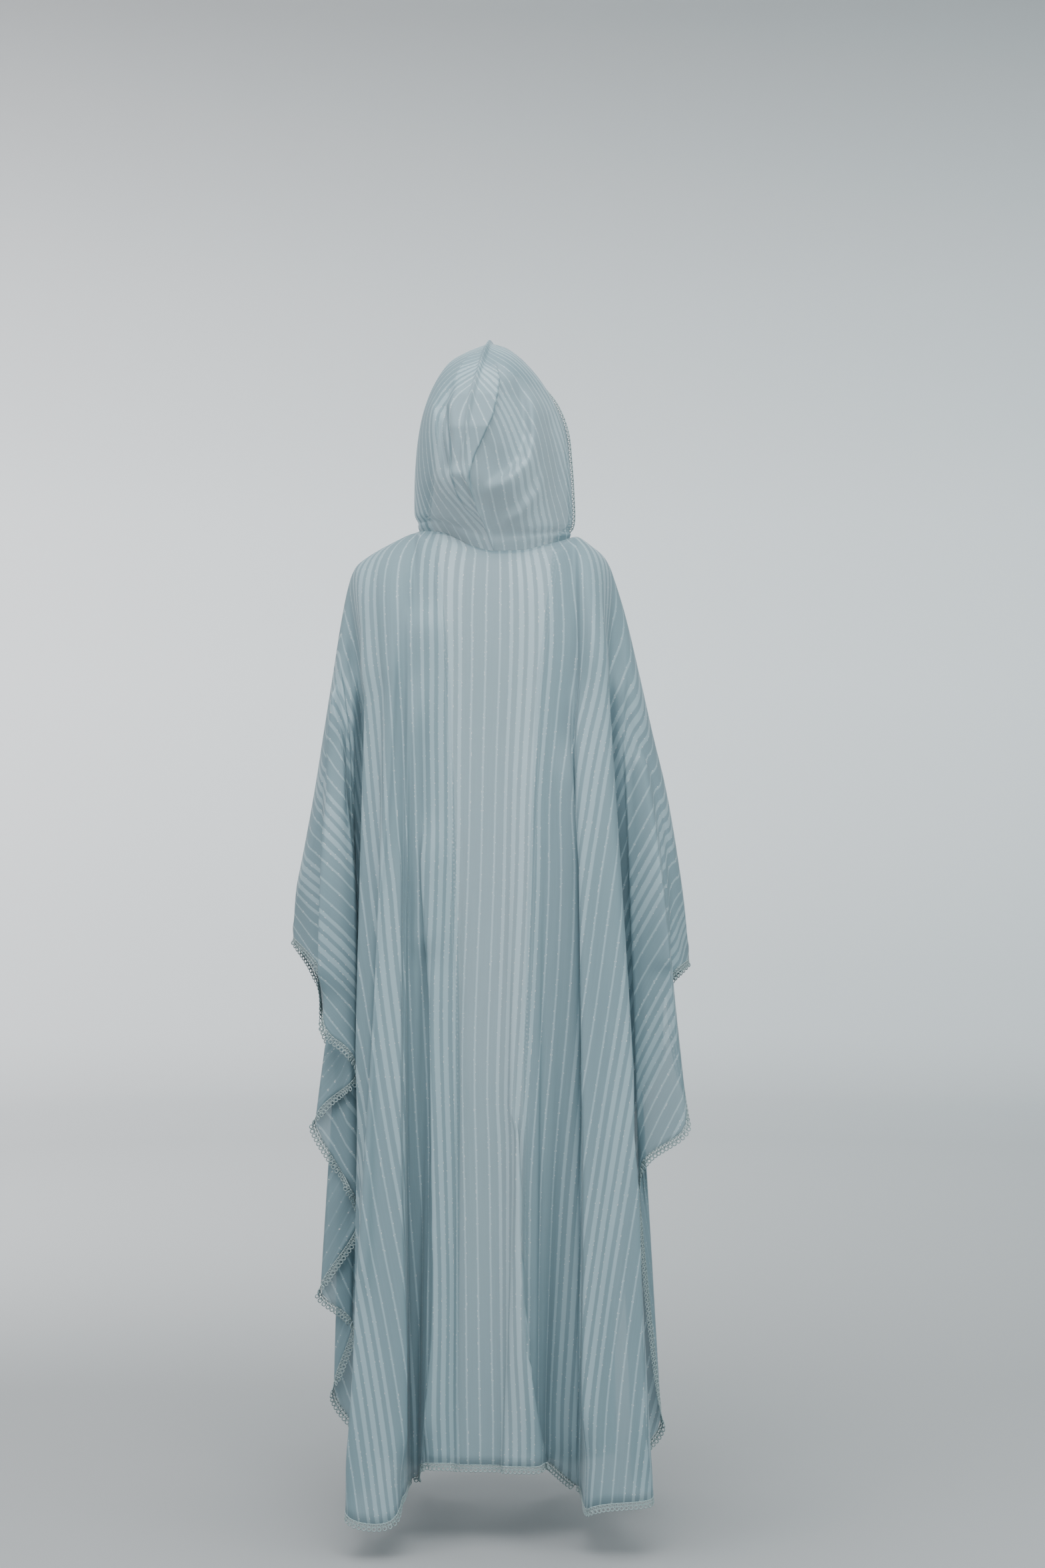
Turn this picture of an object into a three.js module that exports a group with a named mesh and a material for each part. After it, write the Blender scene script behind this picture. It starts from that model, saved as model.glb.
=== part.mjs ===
// Open hooded robe with wide bat-wing sleeves, in the pose of a standing wearer.
// Millimetres, +Z up. The wearer faces +Y and the back of the robe faces -Y.
// The origin is the middle of the neck base, where the shoulders carry the robe.
import * as THREE from 'three';

// ---- driving dimensions ----
const WALL = 1.5; // cloth wall thickness
const SEAM = 0.3; // gap between two pieces that are sewn together
const LAP = 1.5; // height of the hood's foot over the neck edge of the panels
const TRIM = 11; // width of the crochet edging
const TRIM_WALL = 1.4; // thickness of the crochet edging
const ROUND = 0.15; // share of each drop that curves over the shoulder or arm
const MIDDLE = 0.5; // share of each drop at which the middle fold place is given
const NEAR_TURN = 0.2; // place of the extra grid columns beside a fold line that turns back
const MITRE = 3; // most that the wall grows towards the inside of a sharp fold
const HOOD_ACROSS = 4; // grid steps between two lines of the hood
const HOOD_UP = 2; // grid steps between two levels of the hood
const SLANT_LIMIT = 3; // most that a slanting edge stretches the edging downwards
const CLOTH = 0x9fb0b8;
const LACE = 0xb4c0bf;

// Shares of a drop at which a panel has a grid row.
const DROPS = [0, 0.03, 0.08, 0.15, 0.24, 0.36, 0.5, 0.63, 0.76, 0.88, 1];

// ---- seam lines ----
// Shoulder and arm seam, neck to wrist: x, y, z.
const ARM_LEFT = [
  [-108, 0, 4], [-149, 0, -15], [-182, 0, -35], [-193, 0, -45], [-202, 0, -64],
  [-213, 0, -113], [-227, 0, -201], [-241, 0, -290], [-255, 0, -378],
  [-271, 0, -466], [-282, 0, -525], [-285, 0, -571],
];
const ARM_RIGHT = [
  [130, 0, -1], [155, 0, -17], [170, 0, -30], [179, 0, -45], [186, 0, -64],
  [201, 0, -113], [222, 0, -201], [242, 0, -290], [263, 0, -378],
  [278, 0, -466], [290, 0, -554], [294, 0, -603],
];
// Neck seam round the back, from the left neck point to the right one.
const NECK_BACK = [
  [-108, 0, 4], [-98, -22, 6], [-68, -45, 3], [-48, -60, -6], [-25, -72, -18],
  [10, -78, -27], [46, -76, -26], [81, -62, -18], [106, -40, -10], [130, 0, -1],
];
// Neck seam at the front, from the neck point to the corner of the opening.
const NECK_LEFT = [[-108, 0, 4], [-100, 24, 1], [-86, 46, -8]];
const NECK_RIGHT = [[130, 0, -1], [122, 22, -4], [108, 42, -11]];

// ---- fold tables ----
// Each row is one fold line from the seam down to the cut edge.
// at = distance along the seam line that the table names, then
// x and y where the drop leaves the body, x and y half way, and x, y, z at the edge.
const BACK_WING_LEFT = [
  // at, round x, y, middle x, y, edge x, y, z
  [631, -286, -5, -286, -7, -285, -9, -588],
  [545, -268, -38, -259, -46, -253, -52, -616],
  [425, -242, -44, -229, -68, -223, -83, -664],
  [356, -238, -46, -234, -88, -235, -99, -689],
  [306, -222, -56, -214, -100, -213, -110, -731],
  [266, -210, -60, -190, -88, -188, -92, -776],
  [237, -206, -57, -210, -58, -249, -64, -852],
  [212, -201, -53, -187, -50, -185, -56, -985],
  [193, -198, -48, -214, -42, -243, -46, -1098],
  [172, -194, -43, -190, -33, -197, -35, -1151],
  [152, -190, -37, -209, -24, -225, -23, -1243],
  [132, -184, -34, -176, -14, -182, -11, -1314],
  [112, -173, -62, -156, -74, -162, -74, -1363],
  [93, -172, -100, -182, -134, -193, -126, -1377],
  [77, -163, -110, -169, -140, -187, -141, -1386],
  [66, -152, -116, -157, -146, -188, -160, -1390],
  [54, -145, -124, -161, -164, -197, -198, -1381],
  [34, -133, -130, -139, -174, -152, -226, -1393],
  [16, -116, -124, -118, -150, -117, -188, -1363],
];
const BACK_NECK = [
  [20, -100, -112, -100, -106, -103, -84, -1356],
  [44, -82, -114, -80, -122, -91, -146, -1324],
  [80, -53, -120, -59, -140, -69, -172, -1321],
  [153, 7, -120, 3, -128, -5, -152, -1328],
  [206, 61, -122, 57, -138, 47, -172, -1325],
  [244, 97, -118, 82, -132, 74, -158, -1321],
  [272, 116, -112, 112, -120, 90, -118, -1332],
  [296, 131, -108, 134, -110, 128, -92, -1370],
];
const BACK_WING_RIGHT = [
  [6, 134, -122, 137, -158, 140, -204, -1377],
  [20, 150, -132, 164, -182, 182, -226, -1364],
  [38, 169, -116, 198, -152, 234, -190, -1357],
  [61, 170, -84, 183, -88, 208, -104, -1348],
  [88, 177, -54, 191, -44, 214, -42, -1338],
  [124, 189, -52, 217, -53, 252, -54, -1282],
  [160, 197, -54, 206, -70, 219, -82, -942],
  [216, 214, -58, 241, -94, 258, -104, -877],
  [296, 238, -50, 256, -82, 287, -92, -834],
  [396, 254, -44, 262, -56, 263, -61, -650],
  [516, 277, -36, 275, -44, 278, -46, -630],
  [634, 295, -5, 295, -7, 295, -9, -620],
];
const FRONT_WING_LEFT = [
  [631, -286, 5, -286, 7, -285, 9, -590],
  [478, -264, 40, -258, 48, -254, 50, -650],
  [346, -243, 46, -236, 66, -232, 76, -755],
  [225, -218, 48, -197, 54, -194, 58, -890],
  [164, -206, 46, -212, 38, -218, 40, -1010],
  [128, -194, 44, -182, 24, -178, 20, -1160],
  [104, -182, 54, -168, 50, -168, 48, -1290],
  [78, -168, 90, -176, 104, -190, 112, -1372],
  [52, -150, 108, -160, 140, -182, 178, -1386],
  [24, -132, 112, -136, 122, -140, 134, -1382],
];
const FRONT_NECK_LEFT = [
  [0, -114, 112, -110, 112, -112, 108, -1380],
  [18, -98, 116, -92, 134, -98, 170, -1386],
  [36, -82, 114, -73, 124, -78, 140, -1382],
  [53, -68, 108, -56, 120, -58, 132, -1380],
];
const FRONT_WING_RIGHT = [
  [634, 295, 5, 295, 7, 294, 9, -622],
  [480, 276, 40, 270, 46, 262, 48, -672],
  [346, 252, 46, 252, 64, 254, 74, -770],
  [225, 224, 48, 206, 54, 202, 58, -890],
  [164, 210, 46, 214, 38, 216, 40, -1010],
  [128, 198, 44, 188, 24, 184, 20, -1160],
  [104, 186, 54, 174, 50, 174, 48, -1290],
  [72, 172, 90, 180, 104, 194, 112, -1366],
  [42, 158, 108, 166, 140, 186, 176, -1380],
  [16, 144, 112, 146, 122, 150, 132, -1378],
];
const FRONT_NECK_RIGHT = [
  [0, 134, 112, 128, 112, 126, 106, -1376],
  [17, 117, 116, 107, 134, 106, 168, -1384],
  [33, 98, 114, 84, 124, 84, 138, -1380],
  [48, 82, 108, 66, 118, 62, 130, -1378],
];

// ---- hood tables, one row a level from the foot to the forehead ----
// Middle seam: x, y, z.
const HOOD_SEAM = [
  [10, -78, -27], [-7, -90, 17], [-34, -138, 76], [-29, -145, 144], [-21, -128, 192],
  [-11, -90, 233], [-1, -42, 272], [4, 5, 284], [8, 55, 279], [12, 90, 266],
];
// Each half, from the second level up: back corner, side and face edge, x, y, z each.
const HOOD_LEFT = [
  [-62, -76, 26, -107, -6, 36, -92, 60, 28],
  [-74, -104, 74, -107, -8, 82, -88, 68, 74],
  [-74, -106, 134, -103, -8, 135, -84, 75, 126],
  [-67, -94, 184, -95, -5, 178, -78, 81, 170],
  [-56, -68, 222, -82, 0, 216, -68, 87, 206],
  [-41, -30, 258, -63, 12, 248, -53, 91, 231],
  [-26, 10, 273, -44, 34, 264, -38, 94, 247],
  [-8, 58, 277, -22, 68, 270, -22, 95, 256],
  [5, 92, 265.5, 0, 93.5, 264, -6, 95, 262],
];
const HOOD_RIGHT = [
  [66, -82, 14, 119, -10, 22, 124, 45, 20],
  [56, -106, 62, 116, -14, 70, 124, 44, 66],
  [54, -108, 124, 112, -14, 122, 121, 45, 112],
  [48, -96, 178, 101, -11, 170, 116, 47, 158],
  [42, -72, 224, 86, -4, 210, 102, 54, 196],
  [36, -32, 262, 70, 10, 240, 84, 66, 222],
  [29, 8, 276, 53, 30, 259, 65, 77, 240],
  [23, 56, 276, 38, 64, 268, 46, 86, 253],
  [18, 91, 265.5, 23, 92, 264.5, 29, 93, 261],
];

// ---- curves ----
// Cubic through the values at rising places. Tight curves never swing past a value.
// At a turn, where a fold line turns back on itself, the curve is as steep as it may be.
function through(places, values, place, tight = true, turns = []) {
  const last = places.length - 1;
  const step = (i) => places[i + 1] - places[i];
  const slope = (i) => (values[i + 1] - values[i]) / step(i);
  const tangent = (i) => {
    if (i === 0) return slope(0);
    if (i === last) return slope(last - 1);
    const before = slope(i - 1);
    const after = slope(i);
    if (tight && before * after <= 0) return 0;
    if (turns[i]) return 3 * Math.sign(after) * Math.min(Math.abs(before), Math.abs(after));
    if (tight) return (2 * before * after) / (before + after);
    return (before * step(i) + after * step(i - 1)) / (step(i) + step(i - 1));
  };
  let i = 0;
  while (i < last - 1 && place > places[i + 1]) i += 1;
  const t = (place - places[i]) / step(i);
  const a = (1 + 2 * t) * (1 - t) * (1 - t);
  const b = t * (1 - t) * (1 - t);
  const c = t * t * (3 - 2 * t);
  const d = t * t * (t - 1);
  return a * values[i] + c * values[i + 1] + step(i) * (b * tangent(i) + d * tangent(i + 1));
}

// Points of a line with the distance walked along it.
function walked(points) {
  const places = [0];
  for (let i = 1; i < points.length; i += 1) {
    const [a, b] = [points[i - 1], points[i]];
    places.push(places[i - 1] + Math.hypot(b[0] - a[0], b[1] - a[1], b[2] - a[2]));
  }
  return { points, places, length: places[places.length - 1] };
}

function joined(...lines) {
  const points = [];
  for (const line of lines) {
    for (const p of line) {
      const q = points[points.length - 1];
      if (!q || q.some((v, k) => v !== p[k])) points.push(p);
    }
  }
  return walked(points);
}

const lineAt = (line, place, axis) => through(line.places, line.points.map((p) => p[axis]), place);

// ---- panels ----
// A panel hangs from its seam line: u runs along the fold lines, v down the drop.
function panel(line, rows, side) {
  const places = [0];
  for (let i = 1; i < rows.length; i += 1) {
    const [a, b] = [rows[i - 1], rows[i]];
    const middle = Math.hypot(b[3] - a[3], b[4] - a[4]);
    const edge = Math.hypot(b[5] - a[5], b[6] - a[6]);
    places.push(places[i - 1] + 4 + (middle + edge) / 2);
  }
  const column = (k) => rows.map((row) => row[k]);
  const turned = (k) => rows.map((row, i) => {
    if (i === 0 || i === rows.length - 1) return false;
    return (row[k] - rows[i - 1][k]) * (rows[i + 1][k] - row[k]) < 0;
  });
  const either = (a, b) => turned(a).map((turn, i) => turn || turned(b)[i]);
  const [turnsX, turnsY] = [either(3, 5), either(4, 6)];
  const turnsFor = { 3: turnsY, 5: turnsY, 4: turnsX, 6: turnsX };
  const at = (k, u) => through(places, column(k), u, true, turnsFor[k]);
  const point = (u, v) => {
    const top = [0, 1, 2].map((axis) => lineAt(line, at(0, u), axis));
    top[1] += side * SEAM * 0.5;
    const [edgeX, edgeY, edgeZ] = [at(5, u), at(6, u), at(7, u)];
    const z = top[2] + (edgeZ - top[2]) * v;
    if (v < ROUND) {
      const turn = (v / ROUND) * Math.PI * 0.5;
      const lean = 1 - Math.cos(turn);
      return new THREE.Vector3(
        top[0] + (at(1, u) - top[0]) * lean,
        top[1] + (at(2, u) - top[1]) * Math.sin(turn),
        top[2] + (edgeZ - top[2]) * ROUND * lean,
      );
    }
    const stops = [ROUND, MIDDLE, 1];
    const x = through(stops, [at(1, u), at(3, u), edgeX], v, false);
    const y = through(stops, [at(2, u), at(4, u), edgeY], v, false);
    return new THREE.Vector3(x, y, z);
  };
  const us = [];
  for (let i = 0; i < places.length - 1; i += 1) {
    const shares = [0];
    if (turnsX[i]) shares.push(NEAR_TURN);
    shares.push(0.5);
    if (turnsX[i + 1]) shares.push(1 - NEAR_TURN);
    for (const share of shares) us.push(places[i] + (places[i + 1] - places[i]) * share);
  }
  us.push(places[places.length - 1]);
  return { point, us, vs: DROPS, end: places[places.length - 1] };
}

// ---- walls ----
function facing(point, u, v, uMax, vMax) {
  const h = 1e-4;
  const [u0, u1] = [Math.max(0, u - h * uMax), Math.min(uMax, u + h * uMax)];
  const [v0, v1] = [Math.max(0, v - h * vMax), Math.min(vMax, v + h * vMax)];
  const across = point(u1, v).sub(point(u0, v));
  const down = point(u, v1).sub(point(u, v0));
  return across.cross(down).normalize();
}

// Lengthens the normals of a row at its sharp folds, so that the wall keeps its thickness there.
function mitred(row, normals) {
  return normals.map((normal, j) => {
    if (j === 0 || j === row.length - 1) return normal;
    const spans = [row[j].clone().sub(row[j - 1]), row[j + 1].clone().sub(row[j])];
    const lean = spans.map((span) => Math.abs(span.normalize().dot(normal)));
    const share = Math.sqrt(1 - Math.min(0.999, Math.max(...lean) ** 2));
    return normal.clone().multiplyScalar(Math.min(MITRE, 1 / share));
  });
}

// Closed wall round a grid of places and their normals.
function wall(places, normals, thickness) {
  const rows = places.length;
  const cols = places[0].length;
  const corners = [];
  for (const sign of [1, -1]) {
    for (let i = 0; i < rows; i += 1) {
      for (let j = 0; j < cols; j += 1) {
        corners.push(places[i][j].clone().addScaledVector(normals[i][j], sign * thickness * 0.5));
      }
    }
  }
  const id = (face, i, j) => face * rows * cols + i * cols + j;
  const index = [];
  const shorter = (a, b, c, d) => corners[a].distanceTo(corners[c]) < corners[b].distanceTo(corners[d]);
  const quad = (a, b, c, d, even = shorter(a, b, c, d)) => {
    if (even) index.push(a, b, c, a, c, d);
    else index.push(a, b, d, b, c, d);
  };
  // Both faces of a cell are split along the same, shorter diagonal.
  for (let i = 0; i < rows - 1; i += 1) {
    for (let j = 0; j < cols - 1; j += 1) {
      const fall = places[i][j].distanceTo(places[i + 1][j + 1]);
      const rise = places[i + 1][j].distanceTo(places[i][j + 1]);
      quad(id(0, i, j), id(0, i + 1, j), id(0, i + 1, j + 1), id(0, i, j + 1), fall < rise);
      quad(id(1, i, j), id(1, i, j + 1), id(1, i + 1, j + 1), id(1, i + 1, j), fall < rise);
    }
  }
  for (let j = 0; j < cols - 1; j += 1) {
    quad(id(0, 0, j), id(0, 0, j + 1), id(1, 0, j + 1), id(1, 0, j));
    quad(id(0, rows - 1, j + 1), id(0, rows - 1, j), id(1, rows - 1, j), id(1, rows - 1, j + 1));
  }
  for (let i = 0; i < rows - 1; i += 1) {
    quad(id(0, i + 1, 0), id(0, i, 0), id(1, i, 0), id(1, i + 1, 0));
    quad(id(0, i, cols - 1), id(0, i + 1, cols - 1), id(1, i + 1, cols - 1), id(1, i, cols - 1));
  }
  const geometry = new THREE.BufferGeometry();
  const flat = corners.flatMap((c) => [c.x, c.y, c.z]);
  geometry.setAttribute('position', new THREE.Float32BufferAttribute(flat, 3));
  geometry.setIndex(index);
  return geometry;
}

// The wall's faces point outwards when its volume is positive.
function turnedOut(geometry) {
  const p = geometry.getAttribute('position');
  const order = Array.from(geometry.index.array);
  const corner = (k) => new THREE.Vector3().fromBufferAttribute(p, order[k]);
  let volume = 0;
  for (let k = 0; k < order.length; k += 3) {
    volume += corner(k).dot(corner(k + 1).cross(corner(k + 2)));
  }
  if (volume < 0) {
    for (let k = 0; k < order.length; k += 3) {
      [order[k + 1], order[k + 2]] = [order[k + 2], order[k + 1]];
    }
    geometry.setIndex(order);
  }
  geometry.computeVertexNormals();
  return geometry;
}

function sheet(name, places, normals, colour, thickness) {
  const geometry = turnedOut(wall(places, normals, thickness));
  const looks = { color: colour, roughness: 0.55, metalness: 0, side: THREE.DoubleSide };
  const mesh = new THREE.Mesh(geometry, new THREE.MeshStandardMaterial(looks));
  mesh.name = name;
  return mesh;
}

const panelRow = (cut, v) => cut.us.map((u) => cut.point(u, v));
const panelNormals = (cut, v) => mitred(
  panelRow(cut, v),
  cut.us.map((u) => facing(cut.point, u, v, cut.end, 1)),
);

function panelSheet(name, cut) {
  const places = cut.vs.map((v) => panelRow(cut, v));
  const normals = cut.vs.map((v) => panelNormals(cut, v));
  return sheet(name, places, normals, CLOTH, WALL);
}

// Edging that follows the cut edge of a panel and carries its surface on downwards.
function hemTrim(name, cut) {
  const h = 1e-3;
  const reach = cut.us.map((u) => {
    const edge = cut.point(u, 1);
    const down = edge.clone().sub(cut.point(u, 1 - h)).normalize();
    const [a, b] = [Math.max(0, u - 0.5), Math.min(cut.end, u + 0.5)];
    const along = cut.point(b, 1).sub(cut.point(a, 1));
    const across = along.clone().addScaledVector(down, -along.dot(down));
    const slant = along.length() / across.length();
    const start = SEAM * Math.min(3 * SLANT_LIMIT, slant);
    const drop = start + TRIM * Math.min(SLANT_LIMIT, slant);
    return { edge, down, start, drop };
  });
  const row = (far) => reach.map((r) => r.edge.clone().addScaledVector(r.down, far ? r.drop : r.start));
  const normals = panelNormals(cut, 1);
  return sheet(name, [row(false), row(true)], [normals, normals], LACE, TRIM_WALL);
}

// Edging beside the last fold line of a front panel, down the open front.
function openingTrim(name, cut) {
  const h = 1e-3 * cut.end;
  const columns = [SEAM, SEAM + TRIM].map((distance) => cut.vs.map((v) => {
    const edge = cut.point(cut.end, v);
    const out = edge.clone().sub(cut.point(cut.end - h, v));
    const down = cut.point(cut.end, Math.min(1, v + 1e-3));
    down.sub(cut.point(cut.end, Math.max(0, v - 1e-3))).normalize();
    out.addScaledVector(down, -out.dot(down)).normalize();
    return edge.addScaledVector(out, distance);
  }));
  const normals = cut.vs.map((v) => facing(cut.point, cut.end, v, cut.end, 1));
  return sheet(name, columns, [normals, normals], LACE, TRIM_WALL);
}

// ---- hood ----
// u runs from the middle seam to the face edge, v from the foot to the forehead.
// The foot follows the neck seam line and stands LAP above it.
function hoodHalf(half, neck, feet) {
  const levels = HOOD_SEAM.map((_, i) => i);
  const stations = [0, 1, 2, 3];
  const station = (i, s, axis) => (s === 0 ? HOOD_SEAM[i][axis] : half[i - 1][(s - 1) * 3 + axis]);
  const point = (u, v) => {
    const place = through(stations, feet, u);
    const xyz = [0, 1, 2].map((axis) => {
      const values = levels.map((i) => {
        if (i === 0) return lineAt(neck, place, axis) + (axis === 2 ? LAP : 0);
        return through(stations, stations.map((s) => station(i, s, axis)), u, false);
      });
      return through(levels, values, v, false);
    });
    return new THREE.Vector3(...xyz);
  };
  return { point, uEnd: 3, vEnd: levels.length - 1 };
}

const gridSteps = (spans, each) => Array.from({ length: spans * each + 1 }, (_, i) => i / each);

function hoodSheets(left, right) {
  const us = gridSteps(3, HOOD_ACROSS);
  const vs = gridSteps(HOOD_SEAM.length - 1, HOOD_UP);
  const outward = (cut, u, v, sign) => facing(cut.point, u, v, cut.uEnd, cut.vEnd).multiplyScalar(sign);
  const ridge = vs.map((v) => outward(left, 0, v, 1).add(outward(right, 0, v, -1)).normalize());
  const parts = [];
  for (const [word, cut, sign] of [['left', left, 1], ['right', right, -1]]) {
    const places = vs.map((v, i) => {
      const row = us.map((u) => cut.point(u, v));
      const apart = row[1].clone().sub(row[0]);
      apart.addScaledVector(ridge[i], -apart.dot(ridge[i])).normalize();
      row[0].addScaledVector(apart, SEAM * 0.5);
      return row;
    });
    const normals = vs.map((v, i) => {
      const row = us.map((u) => outward(cut, u, v, sign));
      row[0] = ridge[i].clone();
      return row;
    });
    parts.push(sheet(`hood_${word}`, places, normals, CLOTH, WALL));
    parts.push(faceTrim(`edging_hood_${word}`, cut, vs, sign));
  }
  return parts;
}

// Edging round the face opening of one half of the hood.
function faceTrim(name, cut, vs, sign) {
  const edge = [];
  for (const v of vs) edge.push([cut.uEnd, v]);
  const rows = [SEAM, SEAM + TRIM].map((distance) => edge.map(([u, v]) => {
    const place = cut.point(u, v);
    const out = place.clone().sub(cut.point(u - 1e-3, v));
    const up = cut.point(u, Math.min(cut.vEnd, v + 1e-3));
    up.sub(cut.point(u, Math.max(0, v - 1e-3))).normalize();
    out.addScaledVector(up, -out.dot(up)).normalize();
    return place.addScaledVector(out, distance);
  }));
  const normals = edge.map(([u, v]) => facing(cut.point, u, v, cut.uEnd, cut.vEnd).multiplyScalar(sign));
  return sheet(name, rows, [normals, normals], LACE, TRIM_WALL);
}

// ---- the robe ----
const armLength = { left: walked(ARM_LEFT).length, right: walked(ARM_RIGHT).length };
const neckLength = walked(NECK_BACK).length;
const moved = (rows, place) => rows.map(([at, ...rest]) => [place(at), ...rest]);

const backLine = joined([...ARM_LEFT].reverse(), NECK_BACK, ARM_RIGHT);
const backRows = [
  ...moved(BACK_WING_LEFT, (at) => Math.max(0, armLength.left - at)),
  ...moved(BACK_NECK, (at) => armLength.left + at),
  ...moved(BACK_WING_RIGHT, (at) => Math.min(backLine.length, armLength.left + neckLength + at)),
];
const back = panel(backLine, backRows, -1);

function frontPanel(arm, neck, wing, throat) {
  const line = joined([...arm].reverse(), neck);
  const reach = walked(arm).length;
  const rows = [
    ...moved(wing, (at) => Math.max(0, reach - at)),
    ...moved(throat, (at) => Math.min(line.length, reach + at)),
  ];
  return panel(line, rows, 1);
}
const frontLeft = frontPanel(ARM_LEFT, NECK_LEFT, FRONT_WING_LEFT, FRONT_NECK_LEFT);
const frontRight = frontPanel(ARM_RIGHT, NECK_RIGHT, FRONT_WING_RIGHT, FRONT_NECK_RIGHT);

const robe = new THREE.Group();
robe.add(panelSheet('back_panel', back));
robe.add(hemTrim('edging_back', back));
for (const [word, cut] of [['left', frontLeft], ['right', frontRight]]) {
  robe.add(panelSheet(`front_${word}`, cut));
  robe.add(hemTrim(`edging_front_${word}`, cut));
  robe.add(openingTrim(`edging_opening_${word}`, cut));
}

// The middle seam of the hood stands on the sixth point of the back neck seam.
const neckLeft = joined([...NECK_BACK].slice(0, 6).reverse(), NECK_LEFT);
const neckRight = joined(NECK_BACK.slice(5), NECK_RIGHT);
const feetOf = (neck, corner, side) => [0, neck.places[corner], neck.places[side], neck.length];
const hoodLeft = hoodHalf(HOOD_LEFT, neckLeft, feetOf(neckLeft, 2, 5));
const hoodRight = hoodHalf(HOOD_RIGHT, neckRight, feetOf(neckRight, 2, 4));
robe.add(...hoodSheets(hoodLeft, hoodRight));

export default robe;
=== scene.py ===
import math

import bmesh
import bpy
import numpy as np
from mathutils import Matrix, Vector


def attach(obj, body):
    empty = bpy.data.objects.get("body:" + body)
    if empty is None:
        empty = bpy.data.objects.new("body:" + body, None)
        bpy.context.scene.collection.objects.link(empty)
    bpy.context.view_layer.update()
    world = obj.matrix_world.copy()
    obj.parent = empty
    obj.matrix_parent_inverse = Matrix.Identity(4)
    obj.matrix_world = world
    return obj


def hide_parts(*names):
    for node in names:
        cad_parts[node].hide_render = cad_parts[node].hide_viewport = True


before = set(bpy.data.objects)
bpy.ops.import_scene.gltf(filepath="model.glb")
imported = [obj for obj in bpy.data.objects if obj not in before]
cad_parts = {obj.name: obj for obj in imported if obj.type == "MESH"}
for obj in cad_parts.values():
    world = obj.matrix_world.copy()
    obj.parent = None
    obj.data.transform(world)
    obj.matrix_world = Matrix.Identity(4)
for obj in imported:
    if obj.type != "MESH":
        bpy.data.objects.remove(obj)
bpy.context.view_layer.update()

# ---- sizes, millimetres until the last step ----
MM = 0.001
SEAM = 0.3  # gap between two pieces that are sewn together
LAP = 1.5  # height of the hood's foot over the neck edge of the panels
ROUND = 0.15  # share of each drop that curves over the shoulder or arm
MIDDLE = 0.5  # share of each drop at which the middle fold place is given
CLOTH_WALL = 0.0006  # metres
FLOOR_Z = -1.436  # metres

# ---- seam lines ----
ARM_LEFT = [
    [-108, 0, 4], [-149, 0, -15], [-182, 0, -35], [-193, 0, -45], [-202, 0, -64],
    [-213, 0, -113], [-227, 0, -201], [-241, 0, -290], [-255, 0, -378],
    [-271, 0, -466], [-282, 0, -525], [-285, 0, -571],
]
ARM_RIGHT = [
    [130, 0, -1], [155, 0, -17], [170, 0, -30], [179, 0, -45], [186, 0, -64],
    [201, 0, -113], [222, 0, -201], [242, 0, -290], [263, 0, -378],
    [278, 0, -466], [290, 0, -554], [294, 0, -603],
]
NECK_BACK = [
    [-108, 0, 4], [-98, -22, 6], [-68, -45, 3], [-48, -60, -6], [-25, -72, -18],
    [10, -78, -27], [46, -76, -26], [81, -62, -18], [106, -40, -10], [130, 0, -1],
]
NECK_LEFT = [[-108, 0, 4], [-100, 24, 1], [-86, 46, -8]]
NECK_RIGHT = [[130, 0, -1], [122, 22, -4], [108, 42, -11]]

# ---- fold tables: at, round x, y, middle x, y, edge x, y, z ----
BACK_WING_LEFT = [
    [631, -286, -5, -286, -7, -285, -9, -588],
    [545, -268, -38, -259, -46, -253, -52, -616],
    [425, -242, -44, -229, -68, -223, -83, -664],
    [356, -238, -46, -234, -88, -235, -99, -689],
    [306, -222, -56, -214, -100, -213, -110, -731],
    [266, -210, -60, -190, -88, -188, -92, -776],
    [237, -206, -57, -210, -58, -249, -64, -852],
    [212, -201, -53, -187, -50, -185, -56, -985],
    [193, -198, -48, -214, -42, -243, -46, -1098],
    [172, -194, -43, -190, -33, -197, -35, -1151],
    [152, -190, -37, -209, -24, -225, -23, -1243],
    [132, -184, -34, -176, -14, -182, -11, -1314],
    [112, -173, -62, -156, -74, -162, -74, -1363],
    [93, -172, -100, -182, -134, -193, -126, -1377],
    [77, -163, -110, -169, -140, -187, -141, -1386],
    [66, -152, -116, -157, -146, -188, -160, -1390],
    [54, -145, -124, -161, -164, -197, -198, -1381],
    [34, -133, -130, -139, -174, -152, -226, -1393],
    [16, -116, -124, -118, -150, -117, -188, -1363],
]
BACK_NECK = [
    [20, -100, -112, -100, -106, -103, -84, -1356],
    [44, -82, -114, -80, -122, -91, -146, -1324],
    [80, -53, -120, -59, -140, -69, -172, -1321],
    [153, 7, -120, 3, -128, -5, -152, -1328],
    [206, 61, -122, 57, -138, 47, -172, -1325],
    [244, 97, -118, 82, -132, 74, -158, -1321],
    [272, 116, -112, 112, -120, 90, -118, -1332],
    [296, 131, -108, 134, -110, 128, -92, -1370],
]
BACK_WING_RIGHT = [
    [6, 134, -122, 137, -158, 140, -204, -1377],
    [20, 150, -132, 164, -182, 182, -226, -1364],
    [38, 169, -116, 198, -152, 234, -190, -1357],
    [61, 170, -84, 183, -88, 208, -104, -1348],
    [88, 177, -54, 191, -44, 214, -42, -1338],
    [124, 189, -52, 217, -53, 252, -54, -1282],
    [160, 197, -54, 206, -70, 219, -82, -942],
    [216, 214, -58, 241, -94, 258, -104, -877],
    [296, 238, -50, 256, -82, 287, -92, -834],
    [396, 254, -44, 262, -56, 263, -61, -650],
    [516, 277, -36, 275, -44, 278, -46, -630],
    [634, 295, -5, 295, -7, 295, -9, -620],
]
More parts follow.
